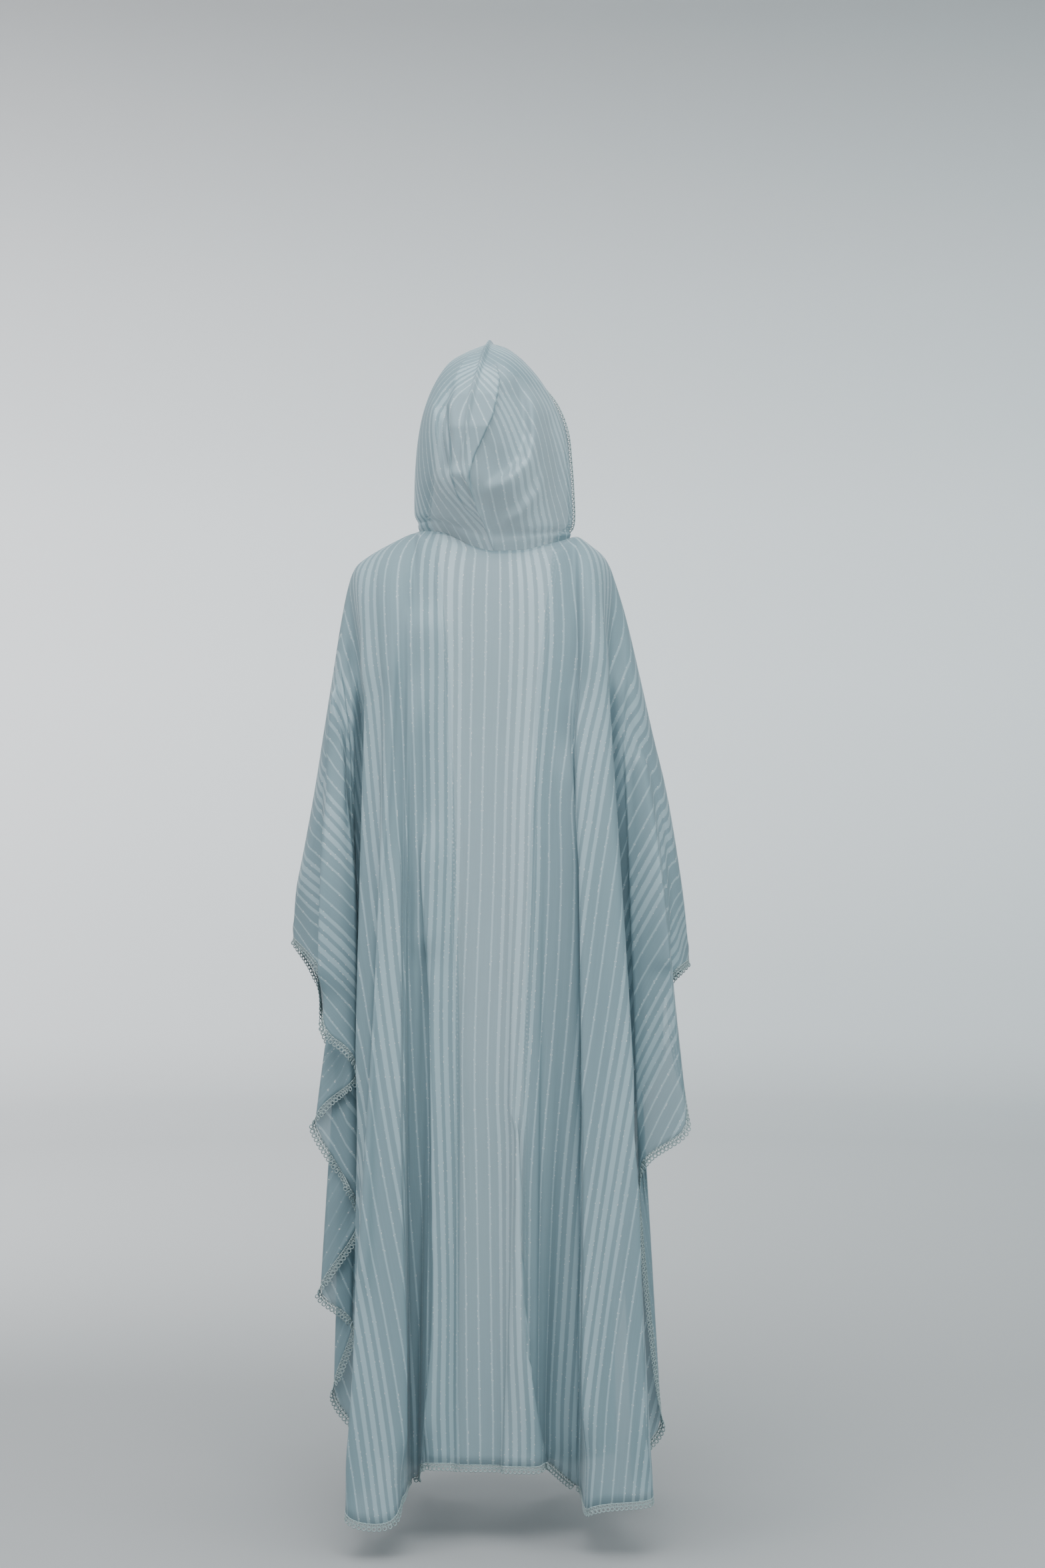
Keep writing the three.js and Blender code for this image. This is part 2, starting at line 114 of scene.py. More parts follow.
FRONT_WING_LEFT = [
    [631, -286, 5, -286, 7, -285, 9, -590],
    [478, -264, 40, -258, 48, -254, 50, -650],
    [346, -243, 46, -236, 66, -232, 76, -755],
    [225, -218, 48, -197, 54, -194, 58, -890],
    [164, -206, 46, -212, 38, -218, 40, -1010],
    [128, -194, 44, -182, 24, -178, 20, -1160],
    [104, -182, 54, -168, 50, -168, 48, -1290],
    [78, -168, 90, -176, 104, -190, 112, -1372],
    [52, -150, 108, -160, 140, -182, 178, -1386],
    [24, -132, 112, -136, 122, -140, 134, -1382],
]
FRONT_NECK_LEFT = [
    [0, -114, 112, -110, 112, -112, 108, -1380],
    [18, -98, 116, -92, 134, -98, 170, -1386],
    [36, -82, 114, -73, 124, -78, 140, -1382],
    [53, -68, 108, -56, 120, -58, 132, -1380],
]
FRONT_WING_RIGHT = [
    [634, 295, 5, 295, 7, 294, 9, -622],
    [480, 276, 40, 270, 46, 262, 48, -672],
    [346, 252, 46, 252, 64, 254, 74, -770],
    [225, 224, 48, 206, 54, 202, 58, -890],
    [164, 210, 46, 214, 38, 216, 40, -1010],
    [128, 198, 44, 188, 24, 184, 20, -1160],
    [104, 186, 54, 174, 50, 174, 48, -1290],
    [72, 172, 90, 180, 104, 194, 112, -1366],
    [42, 158, 108, 166, 140, 186, 176, -1380],
    [16, 144, 112, 146, 122, 150, 132, -1378],
]
FRONT_NECK_RIGHT = [
    [0, 134, 112, 128, 112, 126, 106, -1376],
    [17, 117, 116, 107, 134, 106, 168, -1384],
    [33, 98, 114, 84, 124, 84, 138, -1380],
    [48, 82, 108, 66, 118, 62, 130, -1378],
]

# ---- hood tables, one row a level from the foot to the forehead ----
HOOD_SEAM = [
    [10, -78, -27], [-7, -90, 17], [-34, -138, 76], [-29, -145, 144], [-21, -128, 192],
    [-11, -90, 233], [-1, -42, 272], [4, 5, 284], [8, 55, 279], [12, 90, 266],
]
HOOD_LEFT = [
    [-62, -76, 26, -107, -6, 36, -92, 60, 28],
    [-74, -104, 74, -107, -8, 82, -88, 68, 74],
    [-74, -106, 134, -103, -8, 135, -84, 75, 126],
    [-67, -94, 184, -95, -5, 178, -78, 81, 170],
    [-56, -68, 222, -82, 0, 216, -68, 87, 206],
    [-41, -30, 258, -63, 12, 248, -53, 91, 231],
    [-26, 10, 273, -44, 34, 264, -38, 94, 247],
    [-8, 58, 277, -22, 68, 270, -22, 95, 256],
    [5, 92, 265.5, 0, 93.5, 264, -6, 95, 262],
]
HOOD_RIGHT = [
    [66, -82, 14, 119, -10, 22, 124, 45, 20],
    [56, -106, 62, 116, -14, 70, 124, 44, 66],
    [54, -108, 124, 112, -14, 122, 121, 45, 112],
    [48, -96, 178, 101, -11, 170, 116, 47, 158],
    [42, -72, 224, 86, -4, 210, 102, 54, 196],
    [36, -32, 262, 70, 10, 240, 84, 66, 222],
    [29, 8, 276, 53, 30, 259, 65, 77, 240],
    [23, 56, 276, 38, 64, 268, 46, 86, 253],
    [18, 91, 265.5, 23, 92, 264.5, 29, 93, 261],
]

# Angle in degrees between the plumb line and the cross grain, by distance from the neck point.
GRAIN = [
    [0, 90], [16, 86], [34, 81], [54, 77], [66, 75], [77, 74], [93, 72], [112, 70], [132, 68],
    [152, 66], [172, 64], [193, 61], [212, 58], [237, 55], [266, 52], [306, 49], [356, 46],
    [425, 42], [545, 38], [640, 36],
]
# Lean of the hood's stripes from the plumb line in degrees, top end towards the middle: one row a
# level, one value a station, and the stations run from the middle seam to the face edge.
LEAN_STATIONS = [0, 0.5, 1.2, 2.4]
HOOD_LEAN = {
    "left": [
        [-10, -10, -10, -4], [-22, -18, -14, -4], [-10, -20, -22, -4], [4, -12, -28, -2], [12, 4, -12, 4],
        [30, 28, 15, 12], [42, 42, 40, 35], [60, 60, 65, 65], [80, 80, 85, 85], [88, 88, 90, 90]],
    "right": [
        [8, 10, 16, 20], [20, 16, 22, 30], [-2, 8, 30, 34], [-6, 14, 24, 24], [-12, 14, 20, 18],
        [-12, 18, 22, 20], [-5, 25, 35, 38], [40, 55, 65, 65], [80, 80, 85, 85], [88, 88, 90, 90]],
}


# ---- finer folds, laid over the big ones ----
# Each fold line: how far the cloth comes out, how fast it falls away on its -x and +x side,
# how far it leans sideways, the part of the seam line it belongs to, then its x, z from top to foot.
# For the back the seam line is measured from the left neck point.
FOLDS_BACK = [
    [13, 3.5, 22, -8, -410, -250, [
        (-184, -75), (-200, -158), (-217, -227), (-224, -294), (-226, -381), (-230, -483),
        (-232, -579), (-234, -675)]],
    [5, 14, 3, 2, -335, -215, [
        (-199, -128), (-204, -176), (-205, -291), (-206, -512), (-207, -627), (-205, -733)]],
    [19, 11, 9, 0, -262, -100, [(-192, -180), (-194, -292), (-195, -510), (-197, -800), (-196, -1000)]],
    [7, 3, 18, -4, -128, -46, [
        (-177, -120), (-179, -160), (-181, -292), (-182, -510), (-183, -670), (-179, -859),
        (-175, -954),
        (-182, -1180), (-189, -1282), (-199, -1383)]],
    [7, 22, 7, 2, -82, 4, [
        (-133, -149), (-136, -240), (-143, -387), (-154, -510), (-162, -672), (-166, -862),
        (-170, -1100)]],
    [15, 26, 3.5, 9, -25, 34, [
        (-126, -430), (-125, -669), (-125, -857), (-122, -1045), (-120, -1139), (-119, -1345)]],
    [18, 14, 16, 0, -16, 58, [(-101, -190), (-100, -600), (-101, -1000), (-103, -1300), (-104, -1420)]],
    [13, 3.5, 24, -8, 14, 110, [
        (-88, -400), (-82, -560), (-73, -672), (-70, -862), (-68, -1052), (-70, -1147), (-78, -1241),
        (-85, -1327)]],
    [5, 24, 8, 2, 170, 275, [
        (66, -292), (54, -481), (36, -766), (40, -1021), (50, -1167), (60, -1239), (78, -1319)]],
    [12, 30, 3.5, 9, 170, 275, [(36, -820), (38, -920), (41, -1021), (50, -1167), (60, -1239),
        (76, -1319), (84, -1400)]],
    [15, 3.5, 20, -8, 284, 338, [
        (113, -198), (130, -339), (139, -481), (142, -765), (144, -859), (144, -1048), (142, -1180),
        (142, -1321)]],
    [6, 25, 3, 5, 322, 382, [
        (163, -90), (171, -210), (178, -295), (182, -423), (189, -537), (199, -687), (202, -744),
        (202, -857),
        (209, -939), (214, -1158), (218, -1275), (235, -1354)]],
    [14, 12, 14, 0, 376, 480, [
        (188, -180), (192, -295), (197, -423), (203, -537), (212, -687), (215, -800), (218, -900)]],
    [14, 16, 34, 0, -16, 110, [(-100, -100), (-98, -620)]],
    [12, 16, 16, 0, -16, 58, [(-103, -560), (-103, -1000), (-104, -1400)]],
    [6, 20, 18, 0, 250, 330, [(88, -300), (92, -700), (94, -1000), (98, -1380)]],
    [24, 24, 9, 0, 246, 306, [(126, -280), (130, -700), (130, -1000), (126, -1385)]],
    [8, 22, 5, 4, 455, 660, [(224, -310), (230, -360), (239, -424), (248, -512), (255, -586),
        (259, -640)]],
]
# places on the seam line where the folds turn sharply and the grid is finer
FINE_PLACES = [-340, -268, -63, -18, 72, 218, 308, 345, 540]
FINE_SHARE, FINE_REACH = 5, 15  # how much closer the columns stand there, and how far that reaches
# The same for the fronts, measured from the neck point, below zero on the arm seam.
FOLDS_FRONT = {
    "left": [
        [12, 22, 8, 4, -80, -28, [(-151, -200), (-158, -600), (-164, -900), (-182, -1386)]],
        [-9, 13, 13, 0, -48, -2, [(-135, -230), (-134, -700), (-139, -1382)]],
        [11, 9, 20, -4, 2, 36, [(-99, -230), (-93, -600), (-93, -900), (-99, -1386)]],
        [-5, 11, 11, 0, 26, 60, [(-79, -300), (-70, -800), (-74, -1380)]],
        [8, 15, 12, 0, -190, -100, [(-190, -160), (-192, -500), (-200, -900), (-192, -1200)]],
        [5, 24, 16, 2, -400, -230, [(-215, -150), (-222, -300), (-217, -560), (-214, -800)]],
        [5, 14, 14, 0, -560, -380, [(-243, -330), (-244, -470), (-238, -640)]],
    ],
    "right": [
        [12, 8, 22, -4, -72, -22, [(157, -200), (164, -600), (170, -900), (186, -1380)]],
        [-9, 13, 13, 0, -38, 0, [(137, -230), (133, -700), (133, -1378)]],
        [11, 20, 9, 4, 2, 34, [(117, -230), (108, -600), (107, -900), (106, -1384)]],
        [-5, 11, 11, 0, 24, 55, [(96, -300), (84, -800), (84, -1380)]],
        [8, 12, 15, 0, -190, -100, [(193, -160), (198, -500), (206, -900), (198, -1200)]],
        [5, 16, 24, -2, -400, -230, [(228, -170), (236, -300), (232, -560), (230, -820)]],
        [5, 14, 14, 0, -560, -380, [(256, -330), (260, -470), (258, -650)]],
    ],
}
# The same for the hood. Its folds belong to a range of stations, from the middle seam to the face edge.
FOLDS_HOOD = [
    [-17, 11, 5, 0, -1, 2.6, [
        (-41, 226), (-50, 205), (-59, 177), (-57, 146), (-55, 128), (-54, 80), (-48, 54)]],
    [9, 20, 6, 0, -1, 3.5, [(-86, 203), (-79, 187), (-73, 141), (-62, 97), (-48, 56)]],
    [-16, 34, 10, 0, -1, 3.0, [(36, 232), (48, 186), (51, 140), (44, 108), (25, 86), (-6, 66)]],
    [9, 4, 16, 0, -1, 3.5, [(-50, 96), (-48, 76), (-42, 54), (-30, 33), (-11, 17), (2, 4)]],
    [12, 8, 20, 0, -1, 3.5, [(60, 215), (66, 184), (69, 137), (61, 99), (40, 78), (11, 60), (-15, 46)]],
    [6, 8, 9, 0, -1, 3.5, [(85, 99), (74, 56), (47, 24), (14, 11)]],
    [-6, 9, 9, 0, -1, 3.5, [(87, 184), (100, 108), (104, 32)]],
]
# The flap of cloth that hangs along the hood's middle seam: its two edges as x, z from the peak down
FLAP_LEFT = [
    (-10, 268), (-29, 249), (-40, 222), (-46, 202), (-53, 177), (-51, 146), (-49, 128), (-48, 80),
    (-43, 56),
    (-31, 34), (-12, 18)]
FLAP_RIGHT = [
    (9, 268), (14, 252), (14, 214), (11, 189), (5, 160), (-8, 130), (-20, 105), (-28, 80), (-25, 56),
    (-12, 30),
    (-4, 16)]
# out from the seam, how fast its edges turn, how far they hang over and from how far in
FLAP_OUT, FLAP_EDGE, FLAP_LEAN, FLAP_REACH = 3.0, 3.0, 6.0, 9


# ---- curves ----
def bent(places, values, place, tight=True, turns=None):
    """Cubic through values at rising places. A tight curve never swings past a value."""
    places = np.asarray(places, float)
    values = np.asarray(values, float)
    place = np.asarray(place, float)
    spare = (slice(None),) + (None,) * (values.ndim - 1)
    step = np.diff(places)[spare]
    slope = np.diff(values, axis=0) / step
    tangent = np.empty_like(values)
    tangent[0], tangent[-1] = slope[0], slope[-1]
    if len(places) > 2:
        before, after = slope[:-1], slope[1:]
        if tight:
            same = before * after > 0
            total = np.where(same, before + after, 1)
            inner = np.where(same, 2 * before * after / total, 0)
            if turns is not None:
                steep = 3 * np.sign(after) * np.minimum(np.abs(before), np.abs(after))
                inner = np.where(same & turns[1:-1], steep, inner)
        else:
            inner = (before * step[1:] + after * step[:-1]) / (step[1:] + step[:-1])
        tangent[1:-1] = inner
    i = np.searchsorted(places[1:-1], place, side="left")
    t = ((place - places[i]) / np.diff(places)[i])[(...,) + (None,) * (values.ndim - 1)]
    a = (1 + 2 * t) * (1 - t) ** 2
    b = t * (1 - t) ** 2
    c = t * t * (3 - 2 * t)
    d = t * t * (t - 1)
    return a * values[i] + c * values[i + 1] + step[i] * (b * tangent[i] + d * tangent[i + 1])


def walked(points):
    points = np.array(points, float)
    steps = np.linalg.norm(np.diff(points, axis=0), axis=1)
    return points, np.concatenate([[0], np.cumsum(steps)])


def joined(*lines):
    points = []
    for line in lines:
        for p in line:
            if not points or list(points[-1]) != list(p):
                points.append(p)
    return walked(points)


def along(line, place):
    return bent(line[1], line[0], place)


# ---- panels ----
def panel(line, rows, side):
    """Returns the fold places and a function from (u list, v list) to a grid of points."""
    rows = np.array(rows, float)
    steps = np.diff(rows, axis=0)
    spread = 4 + (np.hypot(steps[:, 3], steps[:, 4]) + np.hypot(steps[:, 5], steps[:, 6])) / 2
    places = np.concatenate([[0], np.cumsum(spread)])

    def turned(*columns):
        flag = np.zeros(len(rows), bool)
        for k in columns:
            flag[1:-1] |= steps[:-1, k] * steps[1:, k] < 0
        return flag

    turns_x, turns_y = turned(3, 5), turned(4, 6)
    turns_for = {3: turns_y, 5: turns_y, 4: turns_x, 6: turns_x}

    def at(k, u):
        return bent(places, rows[:, k], u, True, turns_for.get(k))

    def drape(us, vs):
        us, vs = np.asarray(us, float), np.asarray(vs, float)
        top = along(line, at(0, us))
        top[:, 1] += side * SEAM * 0.5
        first = np.stack([at(1, us), at(2, us)], 1)
        middle = np.stack([at(3, us), at(4, us)], 1)
        edge = np.stack([at(5, us), at(6, us)], 1)
        edge_z = at(7, us)
        grid = np.empty((len(vs), len(us), 3))
        low = vs >= ROUND
        stops = np.stack([first, middle, edge])
        grid[low, :, :2] = bent([ROUND, MIDDLE, 1], stops, vs[low], False)
        grid[low, :, 2] = top[None, :, 2] + (edge_z - top[:, 2])[None] * vs[low][:, None]
        turn = (vs[~low] / ROUND)[:, None] * math.pi / 2
        lean = 1 - np.cos(turn)
        grid[~low, :, 0] = top[None, :, 0] + (first[:, 0] - top[:, 0])[None] * lean
        grid[~low, :, 1] = top[None, :, 1] + (first[:, 1] - top[:, 1])[None] * np.sin(turn)
        grid[~low, :, 2] = top[None, :, 2] + (edge_z - top[:, 2])[None] * ROUND * lean
        return grid

    return {"places": places, "end": places[-1], "at": at, "drape": drape, "line": line}


def plumb_directions(grid):
    """Unit directions on the cloth: across it, the way the columns run, and straight down it."""
    across = np.gradient(grid, axis=1)
    column = np.gradient(grid, axis=0)
    normal = unit(np.cross(across, column))
    down = unit(column)
    plumb = np.zeros_like(normal)
    plumb[..., 2] = -1
    plumb -= normal * (plumb * normal).sum(2, keepdims=True)
    steep = np.clip((np.linalg.norm(plumb, axis=2, keepdims=True) - 0.25) / 0.3, 0, 1)
    down = unit(unit(plumb) * steep + down * (1 - steep))
    sideways = np.cross(down, normal)
    sideways *= np.sign((sideways * across).sum(2, keepdims=True))
    return unit(sideways), down


def unit(vectors):
    return vectors / np.maximum(1e-9, np.linalg.norm(vectors, axis=-1, keepdims=True))


def laid_flat(grid, angle, turns=500):
    """Lays the cloth flat, so that its threads keep their angle to the plumb line.

    angle holds, for each grid point, the angle in radians from straight down to the cross grain.
    The best fit over all grid steps comes from a conjugate gradient descent.
    """
    sideways, down = plumb_directions(grid)
    sine, cosine = np.sin(angle)[..., None], np.cos(angle)[..., None]
    pulls = (sine * sideways + cosine * down, sine * down - cosine * sideways)
    row_step, column_step = grid[:, 1:] - grid[:, :-1], grid[1:] - grid[:-1]
    a = np.maximum(0.05, np.linalg.norm(row_step, axis=2))
    b = np.maximum(0.05, np.linalg.norm(column_step, axis=2))
    b_near = np.pad(b, ((0, 1), (0, 0)), mode="edge")[:, :-1]
    a_near = np.pad(a, ((0, 0), (0, 1)), mode="edge")[:-1]
    row_weight, column_weight = np.clip(b_near / a, 0.02, 50), np.clip(a_near / b, 0.02, 50)

    def spread(rows, columns):
        total = np.zeros(grid.shape[:2])
        total[:, 1:] += rows
        total[:, :-1] -= rows
        total[1:] += columns
        total[:-1] -= columns
        return total

    def stiff(x):
        return spread(row_weight * (x[:, 1:] - x[:, :-1]), column_weight * (x[1:] - x[:-1]))

    weight = np.zeros(grid.shape[:2])
    for part, w in (
        ((slice(None), slice(1, None)), row_weight), ((slice(None), slice(None, -1)), row_weight),
        ((slice(1, None),), column_weight), ((slice(None, -1),), column_weight),
    ):
        weight[part] += w
    flat = []
    for pull in pulls:
        rows = ((pull[:, 1:] + pull[:, :-1]) / 2 * row_step).sum(2)
        columns = ((pull[1:] + pull[:-1]) / 2 * column_step).sum(2)
        x = np.cumsum(np.concatenate([np.zeros((len(rows), 1)), rows], 1), 1)
        rest = spread(row_weight * rows, column_weight * columns) - stiff(x)
        eased = rest / weight
        way = eased.copy()
        energy = (rest * eased).sum()
        for _ in range(turns):
            bent_way = stiff(way)
            share = energy / (way * bent_way).sum()
            x += share * way
            rest -= share * bent_way
            eased = rest / weight
            new_energy = (rest * eased).sum()
            way = eased + new_energy / energy * way
            energy = new_energy
        flat.append(x)
    return np.stack(flat, 2)


def panel_angle(cut, us, vs, neck):
    """Angle to the cross grain at each grid point of a panel, from the table GRAIN."""
    place = cut["at"](0, us)
    left, right = neck
    out = np.where(place < left, left - place, np.where(place > right, place - right, 0))
    grain = np.array(GRAIN, float)
    angle = bent(grain[:, 0], grain[:, 1], np.minimum(out, 640))
    angle = np.radians(np.where(place < left, 180 - angle, angle))
    return np.repeat(angle[None], len(vs), 0)


def cell_area(points):
    """Area of a grid of points, laid flat or hung."""
    a, b = points[1:, 1:] - points[:-1, :-1], points[1:, :-1] - points[:-1, 1:]
    squares = (a * a).sum(2) * (b * b).sum(2) - (a * b).sum(2) ** 2
    return float(np.sqrt(np.maximum(0, squares)).sum() / 2)


# ---- finer folds ----
def from_line(line, x, z):
    """Distance from a fold line, above zero on its +x side going down, and the share walked along it."""
    line = np.array(line, float)
    walk = np.concatenate([[0], np.cumsum(np.hypot(*np.diff(line, axis=0).T))])
    best = np.full(x.shape, 1e9)
    side, share = np.ones(x.shape), np.zeros(x.shape)
    for k in range(len(line) - 1):
        run = line[k + 1] - line[k]
        length = np.hypot(*run)
        dx, dz = x - line[k, 0], z - line[k, 1]
        t = np.clip((dx * run[0] + dz * run[1]) / length**2, 0, 1)
        far = np.hypot(dx - t * run[0], dz - t * run[1])
        nearer = far < best
        best = np.where(nearer, far, best)
        side = np.where(nearer, np.sign(run[0] * dz - run[1] * dx), side)
        share = np.where(nearer, (walk[k] + t * length) / walk[-1], share)
    return best * np.where(side == 0, 1, side), share


def eased(x):
    x = np.clip(x, 0, 1)
    return x * x * (3 - 2 * x)


def fold_cloth(grid, folds, belongs, outward, soft, taper=0.08):
    """Moves the cloth out along its fold lines.

    belongs is where each column sits and soft its margin. taper is the share of a line over which
    the fold fades in and out.
    """
    moved_grid = grid.copy()
    x, z = grid[..., 0], grid[..., 2]
    for out, fall_left, fall_right, lean, low, high, line in folds:
        distance, share = from_line(line, x, z)
        fall = np.where(distance < 0, fall_left, fall_right)
        amount = np.exp(-((distance / fall) ** 2)) * eased(share / taper) * eased((1 - share) / taper)
        amount *= eased((belongs - low) / soft + 0.5) * eased((high - belongs) / soft + 0.5)
        moved_grid += amount[..., None] * out * outward
        moved_grid[..., 0] += amount * lean
    return moved_grid


# ---- meshes ----
def placed(name, data):
    """A new object in the scene."""
    obj = bpy.data.objects.new(name, data)
    bpy.context.scene.collection.objects.link(obj)
    return obj


def grid_mesh(name, grid, flat):
    """A sheet of cloth: a plain grid whose vertices are moved to their places."""
    rows, cols = grid.shape[:2]
    bm = bmesh.new()
    bmesh.ops.create_grid(bm, x_segments=cols - 1, y_segments=rows - 1, size=1)
    mesh = bpy.data.meshes.new(name)
    bm.to_mesh(mesh)
    bm.free()
    count = len(mesh.vertices)
    co = np.empty(count * 3)
    mesh.vertices.foreach_get("co", co)
    co = co.reshape(-1, 3)
    j = np.rint((co[:, 0] + 1) / 2 * (cols - 1)).astype(int)
    i = np.rint((co[:, 1] + 1) / 2 * (rows - 1)).astype(int)
    mesh.vertices.foreach_set("co", (grid[i, j] * MM).ravel())
    loops = np.empty(len(mesh.loops), int)
    mesh.loops.foreach_get("vertex_index", loops)
    layer = mesh.uv_layers.new(name="cut")
    layer.data.foreach_set("uv", (flat[i, j] * MM)[loops].ravel())
    mesh.polygons.foreach_set("use_smooth", [True] * len(mesh.polygons))
    mesh.update()
    return placed(name, mesh)


def turn_outwards(obj, centre):
    """Flips the faces where most of them look towards the middle of the robe."""
    mesh = obj.data
    inward = 0
    for face in mesh.polygons:
        middle = Vector(face.center) - Vector((centre[0], centre[1], face.center.z))
        inward += 1 if face.normal.dot(middle) < 0 else -1
    if inward > 0:
        bm = bmesh.new()
        bm.from_mesh(mesh)
        bmesh.ops.reverse_faces(bm, faces=bm.faces)
        bm.to_mesh(mesh)
        bm.free()


def thin_wall(obj, thickness=CLOTH_WALL):
    wall = obj.modifiers.new("wall", "SOLIDIFY")
    wall.thickness = thickness
    wall.offset = 0
    wall.material_offset = 1
    wall.material_offset_rim = 0


# ---- the robe's forms ----
arm_left, arm_right = walked(ARM_LEFT)[1][-1], walked(ARM_RIGHT)[1][-1]
neck_length = walked(NECK_BACK)[1][-1]


def moved(rows, place):
    return [[place(row[0])] + list(row[1:]) for row in rows]


back_line = joined(ARM_LEFT[::-1], NECK_BACK, ARM_RIGHT)
back_rows = (
    moved(BACK_WING_LEFT, lambda at: max(0, arm_left - at))
    + moved(BACK_NECK, lambda at: arm_left + at)
    + moved(BACK_WING_RIGHT, lambda at: min(back_line[1][-1], arm_left + neck_length + at))
)
back_cut = panel(back_line, back_rows, -1)


def front_panel(arm, neck, wing, throat):
    line = joined(arm[::-1], neck)
    reach = walked(arm)[1][-1]
    rows = moved(wing, lambda at: max(0, reach - at))
    rows += moved(throat, lambda at: min(line[1][-1], reach + at))
    return panel(line, rows, 1)


front_cuts = {
    "left": front_panel(ARM_LEFT, NECK_LEFT, FRONT_WING_LEFT, FRONT_NECK_LEFT),
    "right": front_panel(ARM_RIGHT, NECK_RIGHT, FRONT_WING_RIGHT, FRONT_NECK_RIGHT),
}
# steps of each panel's grid, down and across
DROPS = {"back": 100, "front": 140}
COLUMNS = {"back": 430, "front": 180}
KEY_DROP = 150  # how far under the origin the stripes' places are set


def spaced_drops(count):
    """Grid rows, closer together over the shoulder."""
    near = np.linspace(0, ROUND, count // 5, endpoint=False)
    return np.concatenate([near, np.linspace(ROUND, 1, count - count // 5 + 1)])


def hood_half(half, neck, feet):
    seam = np.array(HOOD_SEAM, float)
    half = np.array(half, float).reshape(-1, 3, 3)
    levels = np.arange(len(seam))

    def shape(us, vs):
        foot = along(neck, bent([0, 1, 2, 3], feet, us))
        foot[:, 2] += LAP
        rows = [foot]
        for i in levels[1:]:
            stations = np.vstack([seam[i][None], half[i - 1]])
            rows.append(bent([0, 1, 2, 3], stations, us, False))
        return bent(levels, np.stack(rows), vs, False)

    return shape


neck_left = joined(NECK_BACK[:6][::-1], NECK_LEFT)
neck_right = joined(NECK_BACK[5:], NECK_RIGHT)
hood_shapes = {
    "left": hood_half(HOOD_LEFT, neck_left, [0, neck_left[1][2], neck_left[1][5], neck_left[1][-1]]),
    "right": hood_half(HOOD_RIGHT, neck_right, [0, neck_right[1][2], neck_right[1][4], neck_right[1][-1]]),
}


# ---- finishes ----
REPEAT = 118.8  # width of one repeat of the satin stripes, millimetres
STRIPE_START = 19.0  # where the first stripe stands on the cut
STRIPE_LEAD = 5.5  # ground before the first stripe, so that it isn't split by the repeat
STRIPE_EDGE = 0.45  # half the width over which a stripe fades
WAVER = 0.7  # how far a stripe's edge wavers
STRIPES = [
    # place in the repeat, width
    [0, 2.5], [18.1, 2.5], [36.7, 2.5], [51.6, 4.5], [64.8, 6.5], [77.5, 7.5], [90.3, 7.5], [103.1, 5],
]
GROUND = (0.262, 0.388, 0.432, 1)
SATIN = (0.445, 0.605, 0.66, 1)
YARN = (0.27, 0.355, 0.36, 1)


def new_material(name):
    material = bpy.data.materials.new(name)
    material.use_nodes = True
    tree = material.node_tree
    tree.nodes.clear()
    return material, tree.nodes, tree.links


def math_node(nodes, links, kind, a, b=None):
    node = nodes.new("ShaderNodeMath")
    node.operation = kind
    for k, value in enumerate((a, b)):
        if value is None:
            continue
        if isinstance(value, (int, float)):
            node.inputs[k].default_value = value
        else:
            links.new(value, node.inputs[k])
    return node.outputs[0]


def mix_colour(nodes, links, factor, a, b, blend="MIX"):
    node = nodes.new("ShaderNodeMix")
    node.data_type = "RGBA"
    node.blend_type = blend
    for socket, value in ((0, factor), (6, a), (7, b)):
        if hasattr(value, "is_output"):
            links.new(value, node.inputs[socket])
        else:
            node.inputs[socket].default_value = value
    return node.outputs[2]


def shade(colour, factor):
    """A colour made darker or paler."""
    return tuple(min(1, c * factor) for c in colour[:3]) + (1,)


def noise(nodes, links, place, scale, detail, stretch=None):
    """Soft noise at a place. stretch sets a different scale for each axis."""
    if stretch is not None:
        drawn = nodes.new("ShaderNodeMapping")
        drawn.inputs["Scale"].default_value = stretch
        links.new(place, drawn.inputs["Vector"])
        place = drawn.outputs[0]
    texture = nodes.new("ShaderNodeTexNoise")
    texture.inputs["Scale"].default_value = scale
    texture.inputs["Detail"].default_value = detail
    links.new(place, texture.inputs["Vector"])
    return texture.outputs["Fac"]


